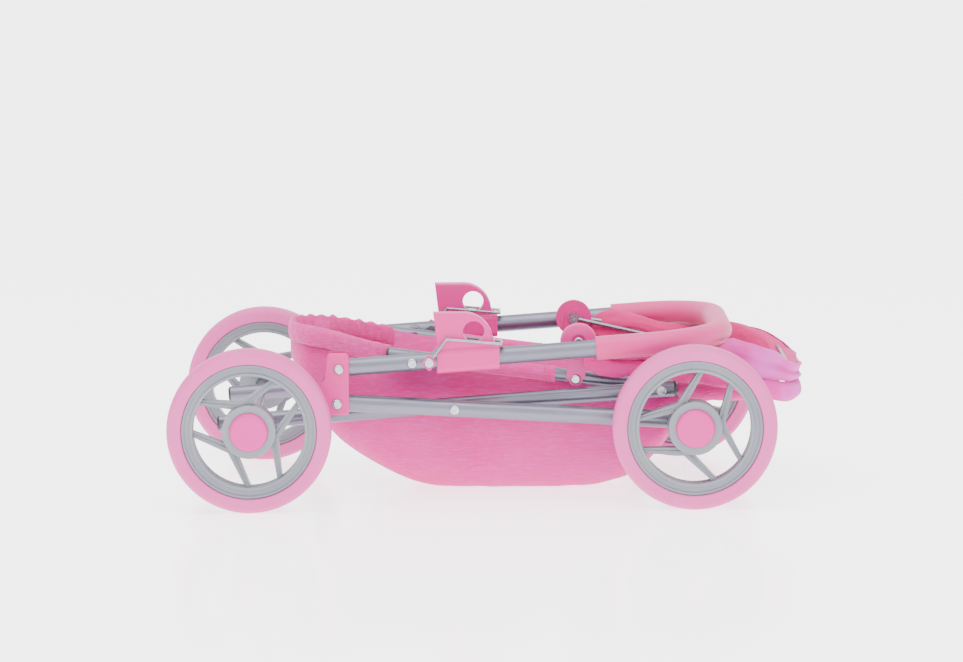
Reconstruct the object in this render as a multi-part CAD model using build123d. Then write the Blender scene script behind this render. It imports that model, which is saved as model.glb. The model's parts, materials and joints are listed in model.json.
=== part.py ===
from build123d import *
import math
import os

# A folding doll pram, folded flat.  +X is the front, +Y the left side, +Z up.
# The origin is on the floor, under the middle of the folded pram.

# Pivots of the folding linkage, folded, as (x, z)
REAR_AXLE = (-218.0, 75.0)
FRONT_AXLE = (187.5, 75.0)
SCISSOR = (-31.0, 88.0)
HANDLE_PIVOT = (-136.7, 126.4)
HANDLE_RAIL_PIVOT = (-69.6, 131.0)
RAIL_PIVOT = (159.4, 101.2)
HOOD_PIVOT = (83.7, 145.6)
HOOD_ARM_SCREW = (80.9, 110.0)
BAIL_PIVOT = (-53.9, 132.4)
LEG_CLAMP_X = -138.6

# Planes of the side members, distance from the middle
HANDLE_Y = 115.0
FRONT_LEG_Y = 115.0
REAR_LEG_Y = 94.0
RAIL_Y = 78.0
WHEEL_Y = 155.0

# Tubes
HANDLE_TUBE_R = 8.0
LEG_TUBE_R = 7.5
RAIL_TUBE_R = 6.25
TUBE_WALL = 1.2
HANDLE_END_X = 217.0
HANDLE_BEND_R = 70.0
RAIL_END_X = 243.0
RAIL_TAIL_X = -92.0
RAIL_BEND_R = 58.0
FOAM_R = 11.0
FOAM_RIGHT_X = 99.0
FOAM_LEFT_X = 121.0

# Wheels
TYRE_R = 75.0
TYRE_WIDTH = 24.0
RIM_R = 61.8
RIM_INNER_R = 51.0
RIM_WIDTH = 20.0
HUB_R = 24.6
HUB_OUTER = 11.0
HUB_INNER = 13.0
HUB_BOSS_R = 12.0
CAP_R = 17.6
CAP_DEPTH = 4.0
SPOKE_WIDTH = 7.6
SPOKE_TIP_WIDTH = 4.6
SPOKE_DEPTH = 11.0
SPOKE_TIP_ANGLE = 44.0
SPOKE_COUNT = 3
AXLE_R = 4.0
SPACER_R = 6.5
CLIP_R = 8.0

# Fasteners and fits
BOLT_R = 2.5
RUNNING = 0.05
GAP = 0.3
SCREW_HEAD_R = 4.6
SCREW_HEAD_H = 2.5
NUT_R = 4.4
ARM_SCREW_R = 1.95
NUT_H = 2.2

# Handle brackets
BRACKET_HALF = 10.8
BRACKET_SLOT_HALF = 8.15

# Lock slides and their wire safety bails
SLIDE_HALF = 10.4
GRIP_HALF = 8.0
FINGER_HOLE = (-13.0, 159.5)
FINGER_HOLE_R = 10.0
BAIL_WIRE_R = 1.35
BAIL_HALF = 12.1
EYE_HALF = 1.5

# Hood
DISC_R = 17.0
DISC_Y = (87.0, 93.5)
ARM_Y = (84.5, 86.3)
ARM_HALF_WIDTH = 8.6
BOW_WIRE_R = 2.0
BOW_EYE_HALF = 2.3
HOOD_HALF_WIDTH = 88.0

# Fabric
BAG_HALF_TOP = 68.3
BAG_HALF_BOTTOM = 56.0
CLOTH = 3.0
CASING_R = 7.3

os.makedirs("parts", exist_ok=True)

SIDES = {"right": -1, "left": 1}
ENDS = {
    "rear": (REAR_AXLE, {"right": 105.5, "left": 80.0}),
    "front": (FRONT_AXLE, {"right": 127.0, "left": 40.0}),
}


def save(node, *solids):
    shape = solids[0] if len(solids) == 1 else Compound(children=list(solids))
    export_step(shape, f"parts/{node}.step")


def slope(start, end):
    return (end[1] - start[1]) / (end[0] - start[0])


LEG_CLAMP = (LEG_CLAMP_X, SCISSOR[1] + slope(FRONT_AXLE, SCISSOR) * (LEG_CLAMP_X - SCISSOR[0]))


def on_line(start, end, x):
    """Height of the line through two (x, z) points, at x."""
    return start[1] + slope(start, end) * (x - start[0])


def past(start, end, extra):
    """The point beyond end, on the line from start, by extra."""
    length = math.dist(start, end)
    return tuple(b + (b - a) / length * extra for a, b in zip(start, end))


def rod(start, end, radius):
    """Round bar between two 3-D points."""
    axis = Vector(*end) - Vector(*start)
    bar = Cylinder(radius, axis.length, align=(Align.CENTER, Align.CENTER, Align.MIN))
    return Plane(origin=start, z_dir=axis) * bar


def cross_rod(point, y_start, y_end, radius):
    """Round bar across the pram at an (x, z) point."""
    return rod((point[0], y_start, point[1]), (point[0], y_end, point[1]), radius)


def bent_rod(points, bend, radius):
    path = FilletPolyline(*points, radius=bend)
    return sweep(Plane(origin=path @ 0, z_dir=path % 0) * Circle(radius), path=path)


def bent_tube(points, bend, outer, inner):
    return bent_rod(points, bend, outer) - bent_rod(points, bend, inner)


def plate(outline, y_start, y_end, corner=0.0):
    """Flat plate with an (x, z) outline, standing along the pram."""
    face = make_face(Polyline(*outline, close=True))
    if corner:
        face = fillet(face.vertices(), corner)
    # Plane.XZ looks along -Y, so the plate is extruded backwards from y_end
    low, high = sorted((y_start, y_end))
    return Pos(0, high, 0) * extrude(Plane.XZ * face, high - low)


# ---------------------------------------------------------------- wheels

def ring_profile(inner, outer, half, corner):
    face = Pos((inner + outer) / 2, 0) * Rectangle(outer - inner, 2 * half)
    return fillet(face.vertices(), corner)


def tyre():
    face = Pos((RIM_R + TYRE_R) / 2, 0) * Rectangle(TYRE_R - RIM_R, TYRE_WIDTH)
    face = fillet(face.vertices().sort_by(Axis.X)[-2:], 5.5)
    face = fillet(face.vertices().sort_by(Axis.X)[:2], 1.5)
    return revolve(face, axis=Axis.Y)


def spoke(bisector):
    """Boomerang spoke: two arms from a vertex on the hub to the rim."""
    vertex = HUB_R - 1.0
    tip = RIM_INNER_R + 2.0
    arms = []
    for turn in (-1, 1):
        angle = math.radians(turn * SPOKE_TIP_ANGLE)
        end = (tip * math.cos(angle), tip * math.sin(angle))
        run = (end[0] - vertex, end[1])
        length = math.hypot(*run)
        side = (-run[1] / length, run[0] / length)
        wide = SPOKE_WIDTH / 2
        narrow = SPOKE_TIP_WIDTH / 2
        outline = [
            (vertex + side[0] * wide, side[1] * wide),
            (end[0] + side[0] * narrow, end[1] + side[1] * narrow),
            (end[0] - side[0] * narrow, end[1] - side[1] * narrow),
            (vertex - side[0] * wide, -side[1] * wide),
        ]
        blade = extrude(make_face(Polyline(*outline, close=True)), SPOKE_DEPTH / 2, both=True)
        ridge_line = [(vertex, 0.9), (end[0], end[1] + 0.9), (end[0], end[1] - 0.9), (vertex, -0.9)]
        ridge = extrude(make_face(Polyline(*ridge_line, close=True)), SPOKE_DEPTH / 2 + 1.6, both=True)
        arms.append(blade + ridge)
    knuckle = Pos(vertex, 0, 0) * Cylinder(SPOKE_WIDTH / 2, SPOKE_DEPTH)
    both_arms = arms[0] + arms[1] + knuckle
    # the wheel lies in XY here and is stood up, so its angle is counted from +X towards +Z
    return Rot(90, 0, 0) * (Rot(0, 0, bisector) * both_arms)


def rim(side, bisector):
    ring = revolve(ring_profile(RIM_INNER_R, RIM_R, RIM_WIDTH / 2, 1.2), axis=Axis.Y)
    groove_r = (RIM_INNER_R + RIM_R) / 2
    for face_y in (-RIM_WIDTH / 2, RIM_WIDTH / 2):
        groove = Pos(groove_r, face_y) * Rectangle(5.4, 3.0)
        ring -= revolve(groove, axis=Axis.Y)
    hub = cross_rod((0, 0), -side * (HUB_INNER - 2), side * HUB_OUTER, HUB_R)
    hub = fillet(hub.edges(), 1.2)
    boss = cross_rod((0, 0), -side * HUB_INNER, 0, HUB_BOSS_R)
    wheel = ring + hub + boss
    for index in range(SPOKE_COUNT):
        wheel += spoke(bisector + index * 360 / SPOKE_COUNT)
    recess = cross_rod((0, 0), side * (HUB_OUTER - 1.0), side * (HUB_OUTER + 1), CAP_R + 0.1)
    bore = cross_rod((0, 0), -TYRE_WIDTH, TYRE_WIDTH, AXLE_R + RUNNING)
    return wheel - recess - bore


def cap(side):
    """Domed hub cap, hollow over the end of the axle."""
    foot = HUB_OUTER - 1.0
    dome = cross_rod((0, 0), side * foot, side * (foot + 1.0 + CAP_DEPTH), CAP_R)
    outer_edge = dome.edges().sort_by(Axis.Y)[-1 if side > 0 else 0]
    dome = fillet(outer_edge, 3.2)
    hollow = cross_rod((0, 0), side * (foot - 1), side * (foot + CAP_DEPTH - 0.6), CAP_R - 4.0)
    return dome - hollow


for end, (axle, bisectors) in ENDS.items():
    for name, side in SIDES.items():
        place = Pos(axle[0], side * WHEEL_Y, axle[1])
        save(f"tyre_{end}_{name}", place * tyre())
        save(f"rim_{end}_{name}", place * rim(side, bisectors[name]))
        save(f"hub_cap_{end}_{name}", place * cap(side))


# ---------------------------------------------------------------- axles

def axle_rod(axle):
    tip = WHEEL_Y + HUB_OUTER + CAP_DEPTH - 2.4
    bar = cross_rod(axle, -tip, tip, AXLE_R)
    return chamfer(bar.edges(), 0.6)


def axle_spacers(axle, leg_face):
    spacers = []
    for side in SIDES.values():
        start = side * (leg_face + GAP)
        end = side * (WHEEL_Y - HUB_INNER - GAP)
        spacer = cross_rod(axle, start, end, SPACER_R)
        collar = cross_rod(axle, end - side * 4.0, end, SPACER_R + 2.0)
        spacers.append(spacer + collar - cross_rod(axle, start, end, AXLE_R))
    return spacers


def axle_clips(axle):
    """Push-on retaining clips that hold the wheels on, under the caps."""
    clips = []
    for side in SIDES.values():
        start = WHEEL_Y + HUB_OUTER - 1.0 + 0.2
        dished = cross_rod(axle, side * start, side * (start + 1.0), CLIP_R)
        clips.append(dished - cross_rod(axle, side * (start - 1), side * (start + 2), AXLE_R))
    return clips


save("rear_axle", axle_rod(REAR_AXLE))
save("rear_axle_spacers", *axle_spacers(REAR_AXLE, REAR_LEG_Y + LEG_TUBE_R))
save("rear_axle_clips", *axle_clips(REAR_AXLE))
save("front_axle", axle_rod(FRONT_AXLE))
save("front_axle_spacers", *axle_spacers(FRONT_AXLE, FRONT_LEG_Y + HANDLE_TUBE_R))
save("front_axle_clips", *axle_clips(FRONT_AXLE))


# ---------------------------------------------------------------- legs

def straight_tube(start, end, y, radius, holes):
    """Tube between two (x, z) points, drilled across at each (point, radius) hole."""
    ends = ((start[0], y, start[1]), (end[0], y, end[1]))
    tube = rod(*ends, radius) - rod(*ends, radius - TUBE_WALL)
    for point, hole_r in holes:
        tube -= cross_rod(point, y - 2 * radius, y + 2 * radius, hole_r)
    return tube


def end_plug(inner, end, y, radius):
    """Plastic plug in the end of a tube: a stem inside it and a domed head."""
    stem_start = past(inner, end, -7.0)
    stem = rod((stem_start[0], y, stem_start[1]), (end[0], y, end[1]), radius - TUBE_WALL)
    outward = Vector(end[0] - inner[0], 0, end[1] - inner[1])
    head = Cone(radius, radius - 1.4, 2.2, align=(Align.CENTER, Align.CENTER, Align.MIN))
    return stem + Plane(origin=(end[0], y, end[1]), z_dir=outward) * head


rear_leg_back = past(RAIL_PIVOT, REAR_AXLE, 30.0)
rear_leg_front = past(REAR_AXLE, RAIL_PIVOT, 12.0)
front_leg_back = past(FRONT_AXLE, LEG_CLAMP, 7.5)
front_leg_front = past(LEG_CLAMP, FRONT_AXLE, 14.0)
bolt_hole = BOLT_R + RUNNING

rear_plugs = []
front_plugs = []
for name, side in SIDES.items():
    rear_y = side * REAR_LEG_Y
    front_y = side * FRONT_LEG_Y
    rear_holes = [(REAR_AXLE, AXLE_R + RUNNING), (SCISSOR, bolt_hole), (RAIL_PIVOT, bolt_hole)]
    front_holes = [(FRONT_AXLE, AXLE_R + RUNNING), (SCISSOR, bolt_hole), (LEG_CLAMP, bolt_hole)]
    rear_leg = straight_tube(rear_leg_back, rear_leg_front, rear_y, LEG_TUBE_R, rear_holes)
    front_leg = straight_tube(front_leg_back, front_leg_front, front_y, HANDLE_TUBE_R, front_holes)
    save(f"rear_leg_{name}", rear_leg)
    save(f"front_leg_{name}", front_leg)
    rear_plugs.append(end_plug(rear_leg_back, rear_leg_front, rear_y, LEG_TUBE_R))
    rear_plugs.append(end_plug(rear_leg_front, rear_leg_back, rear_y, LEG_TUBE_R))
    front_plugs.append(end_plug(front_leg_back, front_leg_front, front_y, HANDLE_TUBE_R))
save("rear_leg_plugs", *rear_plugs)
save("front_leg_plugs", *front_plugs)


# ---------------------------------------------------------------- fasteners

def pan_head(point, side, face_y):
    """Cross-recessed pan head standing on the plane y = face_y."""
    head = cross_rod(point, side * face_y, side * (face_y + SCREW_HEAD_H), SCREW_HEAD_R)
    crown = head.edges().sort_by(Axis.Y)[-1 if side > 0 else 0]
    head = fillet(crown, 1.7)
    recess_y = side * (face_y + SCREW_HEAD_H)
    for size in ((4.6, 1.0), (1.0, 4.6)):
        head -= Pos(point[0], recess_y, point[1]) * Box(size[0], 2.4, size[1])
    return head


def hex_nut(point, side, face_y):
    """Nut standing inwards of the plane y = face_y."""
    nut = extrude(RegularPolygon(NUT_R, 6), NUT_H)
    start = side * (face_y - NUT_H) if side > 0 else side * face_y
    return Pos(point[0], start, point[1]) * (Rot(-90, 0, 0) * nut)


def bolt(point, side, head_y, tip_y):
    return pan_head(point, side, head_y) + cross_rod(point, side * tip_y, side * head_y, BOLT_R)


def washer(point, side, y_start, y_end, radius, hole_r):
    ring = cross_rod(point, side * y_start, side * y_end, radius)
    return ring - cross_rod(point, side * (y_start - 1), side * (y_end + 1), hole_r)


def per_side(make):
    return [make(side) for side in SIDES.values()]


leg_outer = FRONT_LEG_Y + HANDLE_TUBE_R
leg_inner = FRONT_LEG_Y - HANDLE_TUBE_R
rear_outer = REAR_LEG_Y + LEG_TUBE_R
rear_inner = REAR_LEG_Y - LEG_TUBE_R
rail_outer = RAIL_Y + RAIL_TUBE_R
rail_inner = RAIL_Y - RAIL_TUBE_R

save("scissor_bolts", *per_side(lambda s: bolt(SCISSOR, s, leg_outer + GAP, rear_inner - NUT_H)))
save("scissor_spacers", *per_side(
    lambda s: washer(SCISSOR, s, rear_outer, leg_inner - GAP, 6.0, BOLT_R)))
save("rail_bolts", *per_side(lambda s: bolt(RAIL_PIVOT, s, rear_outer, rail_inner - GAP - NUT_H)))
save("rail_washers", *per_side(
    lambda s: washer(RAIL_PIVOT, s, rail_outer + GAP, rear_inner, 6.0, BOLT_R)))
leg_nuts = []
for side in SIDES.values():
    for point, face_y in ((SCISSOR, rear_inner), (RAIL_PIVOT, rail_inner - GAP)):
        leg_nuts.append(hex_nut(point, side, face_y) - cross_rod(point, -200, 200, BOLT_R))
save("rear_leg_nuts", *leg_nuts)


# ---------------------------------------------------------------- handle brackets

def bracket(side):
    """Moulded clevis that holds the front leg and the end of the handle tube."""
    back = LEG_CLAMP_X - 14.4
    front = LEG_CLAMP_X + 11.1
    outline = [
        (front, 84.0),
        (front, 141.0),
        (back + 6.0, 141.0),
        (back + 3.5, 119.0),
        (back, 112.0),
        (back, 84.0),
    ]
    y = side * HANDLE_Y
    body = plate(outline, y - BRACKET_HALF, y + BRACKET_HALF, corner=3.5)
    body = chamfer(body.faces().sort_by(Axis.Y)[-1].edges(), 0.8)
    body = chamfer(body.faces().sort_by(Axis.Y)[0].edges(), 0.8)
    slot_depth = 2 * BRACKET_SLOT_HALF
    upper = Pos(LEG_CLAMP_X, y, 145.0) * Box(60.0, slot_depth, 66.0)
    lower = Pos(front + 5.0, y, 96.0) * Box(60.0, slot_depth, 40.0)
    body = body - upper - lower
    for point in (HANDLE_PIVOT, LEG_CLAMP):
        body -= cross_rod(point, y - 20, y + 20, BOLT_R)
    return body


bracket_screws = []
bracket_nuts = []
for name, side in SIDES.items():
    save(f"handle_bracket_{name}", bracket(side))
    outer = HANDLE_Y + BRACKET_HALF
    inner = HANDLE_Y - BRACKET_HALF
    for point in (HANDLE_PIVOT, LEG_CLAMP):
        bracket_screws.append(bolt(point, side, outer, inner - NUT_H))
        bracket_nuts.append(hex_nut(point, side, inner) - cross_rod(point, -200, 200, BOLT_R))
save("bracket_screws", *bracket_screws)
save("bracket_nuts", *bracket_nuts)


# ---------------------------------------------------------------- handle

def handle_point(x, y):
    return (x, y, on_line(HANDLE_PIVOT, HANDLE_RAIL_PIVOT, x))


handle_tail_x = HANDLE_PIVOT[0] - 8.5
handle_route = [
    handle_point(handle_tail_x, -HANDLE_Y),
    handle_point(HANDLE_END_X, -HANDLE_Y),
    handle_point(HANDLE_END_X, HANDLE_Y),
    handle_point(handle_tail_x, HANDLE_Y),
]
handle = bent_tube(handle_route, HANDLE_BEND_R, HANDLE_TUBE_R, HANDLE_TUBE_R - TUBE_WALL)
for point in (HANDLE_PIVOT, HANDLE_RAIL_PIVOT, BAIL_PIVOT):
    handle -= cross_rod(point, -200, 200, bolt_hole)
save("handle_tube", handle)

foam_route = [
    handle_point(FOAM_RIGHT_X, -HANDLE_Y),
    handle_point(HANDLE_END_X, -HANDLE_Y),
    handle_point(HANDLE_END_X, HANDLE_Y),
    handle_point(FOAM_LEFT_X, HANDLE_Y),
]
save("foam_grip", bent_tube(foam_route, HANDLE_BEND_R, FOAM_R, HANDLE_TUBE_R))

# These bolts stop short of the rail, so the rail's end can leave them as the pram unfolds
save("handle_bolts", *per_side(
    lambda s: bolt(HANDLE_RAIL_PIVOT, s, leg_outer, rail_outer + GAP)))
save("handle_bushes", *per_side(
    lambda s: washer(HANDLE_RAIL_PIVOT, s, rail_outer + 0.6, leg_inner, 6.5, BOLT_R)))


bail_outer = HANDLE_Y + BAIL_HALF + EYE_HALF
bail_inner = HANDLE_Y - BAIL_HALF - EYE_HALF
DIAMOND_THICK = 1.8


def diamond_washer(side):
    """Diamond-shaped moulded washer over the pivot of the safety bail."""
    x, z = BAIL_PIVOT
    outline = [(x - 7.0, z), (x, z + 8.3), (x + 7.0, z), (x, z - 8.3)]
    piece = plate(outline, side * bail_outer, side * (bail_outer + DIAMOND_THICK), corner=1.6)
    return piece - cross_rod(BAIL_PIVOT, -200, 200, BOLT_R)


save("diamond_washers", *per_side(diamond_washer))
save("bail_screws", *per_side(lambda s: bolt(BAIL_PIVOT, s, bail_outer + DIAMOND_THICK, bail_inner)))


# ---------------------------------------------------------------- lock slides

def lock_slide(side):
    """Sleeve that slides on the handle tube, with a finger grip on top."""
    y = side * HANDLE_Y
    back, front = -46.6, 10.4
    sleeve_half = 11.5
    sleeve = plate([
        (back, on_line(HANDLE_PIVOT, HANDLE_RAIL_PIVOT, back) - sleeve_half),
        (front, on_line(HANDLE_PIVOT, HANDLE_RAIL_PIVOT, front) - sleeve_half),
        (front, on_line(HANDLE_PIVOT, HANDLE_RAIL_PIVOT, front) + sleeve_half),
        (back, on_line(HANDLE_PIVOT, HANDLE_RAIL_PIVOT, back) + sleeve_half),
    ], y - SLIDE_HALF, y + SLIDE_HALF)
    along = sleeve.edges().filter_by(lambda e: abs((e % 0.5).X) > 0.9)
    sleeve = fillet(along, 5.0)
    grip_outline = [(-46.0, 143.0), (-50.0, 177.0), (-23.0, 177.0)]
    arch = ThreePointArc((-23.0, 177.0), (-4.3, 170.0), (4.5, 152.0))
    foot = Polyline((4.5, 152.0), (9.0, 146.0), (-46.0, 143.0))
    lines = Curve() + Polyline(*grip_outline) + arch + foot
    grip_face = make_face(lines.edges())
    grip = Pos(0, y + GRIP_HALF, 0) * extrude(Plane.XZ * grip_face, 2 * GRIP_HALF)
    grip = fillet(grip.edges().filter_by(lambda e: e.center().Z > 150.0 and abs((e % 0.5).Y) < 0.1), 1.5)
    hole = cross_rod(FINGER_HOLE, y - 30, y + 30, FINGER_HOLE_R)
    start = handle_point(back - 20, y)
    end = handle_point(front + 20, y)
    return sleeve + grip - hole - rod(start, end, HANDLE_TUBE_R + RUNNING)


def bail(side):
    """Wire loop that hinges on the handle tube and drops in front of the slide."""
    x, z = BAIL_PIVOT
    near, far = side * (HANDLE_Y - BAIL_HALF), side * (HANDLE_Y + BAIL_HALF)
    knee = (-38.0, 153.5)
    nose = (12.2, 148.8)
    route = [
        (x, near, z),
        (knee[0], near, knee[1]),
        (nose[0], near, nose[1]),
        (nose[0], far, nose[1]),
        (knee[0], far, knee[1]),
        (x, far, z),
    ]
    wire = rod(route[0], route[1], BAIL_WIRE_R)
    for start, end in zip(route[1:], route[2:]):
        wire += Pos(*start) * Sphere(BAIL_WIRE_R + 0.1) + rod(start, end, BAIL_WIRE_R)
    for eye_y in (near, far):
        eye = cross_rod(BAIL_PIVOT, eye_y - EYE_HALF, eye_y + EYE_HALF, BOLT_R + 2.0)
        wire += eye
    return wire - cross_rod(BAIL_PIVOT, -200, 200, bolt_hole)


for name, side in SIDES.items():
    save(f"lock_slide_{name}", lock_slide(side))
    save(f"safety_bail_{name}", bail(side))


# ---------------------------------------------------------------- body rail

def rail_point(x, y):
    return (x, y, on_line(HANDLE_RAIL_PIVOT, RAIL_PIVOT, x))


rail_route = [
    rail_point(RAIL_TAIL_X, -RAIL_Y),
    rail_point(RAIL_END_X, -RAIL_Y),
    rail_point(RAIL_END_X, RAIL_Y),
    rail_point(RAIL_TAIL_X, RAIL_Y),
]
rail = bent_tube(rail_route, RAIL_BEND_R, RAIL_TUBE_R, RAIL_TUBE_R - TUBE_WALL)
rail -= cross_rod(RAIL_PIVOT, -200, 200, bolt_hole)
for side in SIDES.values():
    rail -= cross_rod(HOOD_ARM_SCREW, side * RAIL_Y, side * 200, ARM_SCREW_R)
save("pram_rail", rail)

tail = (RAIL_TAIL_X, on_line(HANDLE_RAIL_PIVOT, RAIL_PIVOT, RAIL_TAIL_X))
save("rail_tail_plugs", *per_side(lambda s: end_plug(RAIL_PIVOT, tail, s * RAIL_Y, RAIL_TUBE_R)))
save("rail_end_nuts", *per_side(
    lambda s: hex_nut(HANDLE_RAIL_PIVOT, s, rail_inner) + cross_rod(
        HANDLE_RAIL_PIVOT, s * (rail_inner - NUT_H), s * rail_inner, 1.5)))


# ---------------------------------------------------------------- hood

def hood_arm(side):
    """Upright strap screwed to the rail, carrying the hood's pivot."""
    foot = HOOD_ARM_SCREW
    strap = plate([
        (foot[0] - ARM_HALF_WIDTH, foot[1]),
        (foot[0] + ARM_HALF_WIDTH, foot[1]),
        (HOOD_PIVOT[0] + ARM_HALF_WIDTH, HOOD_PIVOT[1]),
        (HOOD_PIVOT[0] - ARM_HALF_WIDTH, HOOD_PIVOT[1]),
    ], side * ARM_Y[0], side * ARM_Y[1])
    strap += cross_rod(foot, side * ARM_Y[0], side * ARM_Y[1], 6.4)
    strap += cross_rod(HOOD_PIVOT, side * ARM_Y[0], side * ARM_Y[1], ARM_HALF_WIDTH)
    for point in (foot, HOOD_PIVOT):
        strap -= cross_rod(point, -200, 200, 2.0 + RUNNING)
    return strap


def hood_disc(side):
    """Friction disc, fixed to the front bow, with its screw in a round recess."""
    disc = cross_rod(HOOD_PIVOT, side * DISC_Y[0], side * DISC_Y[1], DISC_R)
    rim_edge = disc.edges().sort_by(Axis.Y)[-1 if side > 0 else 0]
    disc = fillet(rim_edge, 2.4)
    disc -= cross_rod(HOOD_PIVOT, side * (DISC_Y[1] - 2.2), side * (DISC_Y[1] + 1), 7.0)
    return disc - cross_rod(HOOD_PIVOT, -200, 200, 2.0)


def disc_screw(side):
    """Pivot screw of the hood, running in the hood arm."""
    head_y = DISC_Y[1] - 2.2
    shank = cross_rod(HOOD_PIVOT, side * (ARM_Y[0] - 1.4), side * head_y, 2.0)
    return pan_head(HOOD_PIVOT, side, head_y) + shank


def arm_screw(side):
    shank = cross_rod(HOOD_ARM_SCREW, side * (ARM_Y[0] - 3.0), side * ARM_Y[1], ARM_SCREW_R)
    return pan_head(HOOD_ARM_SCREW, side, ARM_Y[1]) + shank


def hood_bow(reach, tilt, y_side, socket_r):
    """U-shaped wire bow from one hood pivot to the other."""
    def out(distance, y):
        angle = math.radians(tilt)
        x = HOOD_PIVOT[0] + distance * math.cos(angle)
        return (x, y, HOOD_PIVOT[1] + distance * math.sin(angle))
    route = [out(socket_r, -y_side), out(reach, -y_side), out(reach, y_side), out(socket_r, y_side)]
    return bent_rod(route, 45.0, BOW_WIRE_R)


for name, side in SIDES.items():
    save(f"hood_arm_{name}", hood_arm(side))
    save(f"hood_disc_{name}", hood_disc(side))
save("hood_arm_screws", *per_side(arm_screw))
save("hood_disc_screws", *per_side(disc_screw))

FRONT_BOW = (196.0, -7.4)
MIDDLE_BOW = (190.0, -13.0)
front_bow = hood_bow(*FRONT_BOW, HOOD_HALF_WIDTH + 1.9, DISC_R - 2.0)
for side in SIDES.values():
    front_bow -= cross_rod(HOOD_PIVOT, side * (DISC_Y[0] - 1), side * (DISC_Y[1] + 1), DISC_R)
save("hood_front_bow", front_bow)

middle_y = HOOD_HALF_WIDTH - 6.0
middle_bow = hood_bow(*MIDDLE_BOW, middle_y, 4.0)
for side in SIDES.values():
    eye_span = (side * (middle_y - BOW_EYE_HALF), side * (middle_y + BOW_EYE_HALF))
    middle_bow += cross_rod(HOOD_PIVOT, *eye_span, 5.0)
    middle_bow -= cross_rod(HOOD_PIVOT, side * (middle_y - 5), side * (middle_y + 5), 2.0 + RUNNING)
save("hood_middle_bow", middle_bow)


def hood_line(x, degrees):
    return HOOD_PIVOT[1] + math.tan(math.radians(degrees)) * (x - HOOD_PIVOT[0])


def hood_plan(half_width):
    """Rounded plan of the folded hood, as a tall block."""
    block = Pos((108.0 + 293.0) / 2, 0, 120.0) * Box(293.0 - 108.0, 2 * half_width, 160.0)
    front = block.edges().filter_by(Axis.Z).sort_by(Axis.X)[-2:]
    return fillet(front, 60.0)


front_stack = plate([
    (118.0, hood_line(118.0, -9.6)),
    (126.0, 150.0),
    (150.0, 155.5),
    (176.0, 153.0),
    (188.0, 138.0),
    (230.0, 137.5),
    (236.0, 147.0),
    (258.0, 137.0),
    (277.0, 122.8),
    (293.0, hood_line(293.0, -9.6)),
], -HOOD_HALF_WIDTH, HOOD_HALF_WIDTH)
rear_stack = plate([
    (112.0, hood_line(112.0, -14.4)),
    (112.0, hood_line(112.0, -10.2)),
    (292.0, hood_line(292.0, -10.2)),
    (282.0, 84.0),
    (268.0, 82.0),
    (257.0, 88.0),
    (255.0, hood_line(255.0, -14.4)),
], 4.0 - HOOD_HALF_WIDTH, HOOD_HALF_WIDTH - 4.0)
save("hood_front_fabric", (front_stack & hood_plan(HOOD_HALF_WIDTH)) - front_bow)
save("hood_rear_fabric", (rear_stack & hood_plan(HOOD_HALF_WIDTH - 4.0)) - middle_bow)


# ---------------------------------------------------------------- fabric body

bag_outline = [
    (-188.0, 157.0),
    (-182.0, 120.0),
    (-146.0, 52.0),
    (-114.0, 30.0),
    (-79.0, 11.0),
    (-49.0, 3.0),
    (88.0, 3.0),
    (128.0, 10.0),
    (152.0, 27.0),
    (172.0, 50.0),
    (180.0, 83.0),
    (232.0, 86.0),
    (234.0, on_line(HANDLE_RAIL_PIVOT, RAIL_PIVOT, 234.0) + 3.0),
    (-69.0, on_line(HANDLE_RAIL_PIVOT, RAIL_PIVOT, -69.0) + 3.0),
    (-92.0, 141.0),
]


def bag_section(inset):
    """Cross-section of the bag: narrower at the bottom, as a block along the pram."""
    outline = [
        (-BAG_HALF_BOTTOM + inset, 3.0 + inset),
        (-BAG_HALF_TOP + inset, 88.0),
        (-BAG_HALF_TOP + inset, 200.0),
        (BAG_HALF_TOP - inset, 200.0),
        (BAG_HALF_TOP - inset, 88.0),
        (BAG_HALF_BOTTOM - inset, 3.0 + inset),
    ]
    face = make_face(Polyline(*outline, close=True))
    return Pos(-260.0, 0, 0) * extrude(Plane.YZ * face, 520.0)


def bag_plan(grow):
    """Rounded plan of the bag, as a tall block."""
    back, front = -188.0 - grow, 234.0 + grow
    block = Pos((back + front) / 2, 0, 100.0) * Box(front - back, 2 * (BAG_HALF_TOP + grow), 240.0)
    upright = block.edges().filter_by(Axis.Z).sort_by(Axis.X)
    block = fillet(upright[:2], 34.0 + grow)
    return fillet(block.edges().filter_by(Axis.Z).sort_by(Axis.X)[-2:], 51.0 + grow)


lid_height = 86.5
corners_below = (-182.0, 180.0)
raised = [(x, z + 40.0) if z > lid_height and x not in corners_below else (x, z) for x, z in bag_outline]
inner_face = offset(make_face(Polyline(*raised, close=True)), -CLOTH, kind=Kind.INTERSECTION)
hollow = Pos(0, 100, 0) * extrude(Plane.XZ * inner_face, 200.0)
bag = plate(bag_outline, -100, 100) & bag_section(0.0) & bag_plan(0.0)
bag -= hollow & bag_section(CLOTH) & bag_plan(-CLOTH)
save("pram_bag", bag)

elastic_outline = [(-91.0, 123.0), (-91.0, 142.5), (-192.0, 160.0), (-192.0, 141.0)]
elastic = plate(elastic_outline, -100, 100) & bag_plan(1.6)
save("foot_elastic", elastic - bag_plan(0.0))

casing_route = [
    rail_point(180.0, -RAIL_Y),
    rail_point(RAIL_END_X, -RAIL_Y),
    rail_point(RAIL_END_X, RAIL_Y),
    rail_point(180.0, RAIL_Y),
]
casings = [bent_tube(casing_route, RAIL_BEND_R, CASING_R, RAIL_TUBE_R)]
for side in SIDES.values():
    ends = (rail_point(-46.0, side * RAIL_Y), rail_point(60.0, side * RAIL_Y))
    casings.append(rod(*ends, CASING_R) - rod(*ends, RAIL_TUBE_R))
save("rail_casings", *casings)
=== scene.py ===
import json
import math

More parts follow.
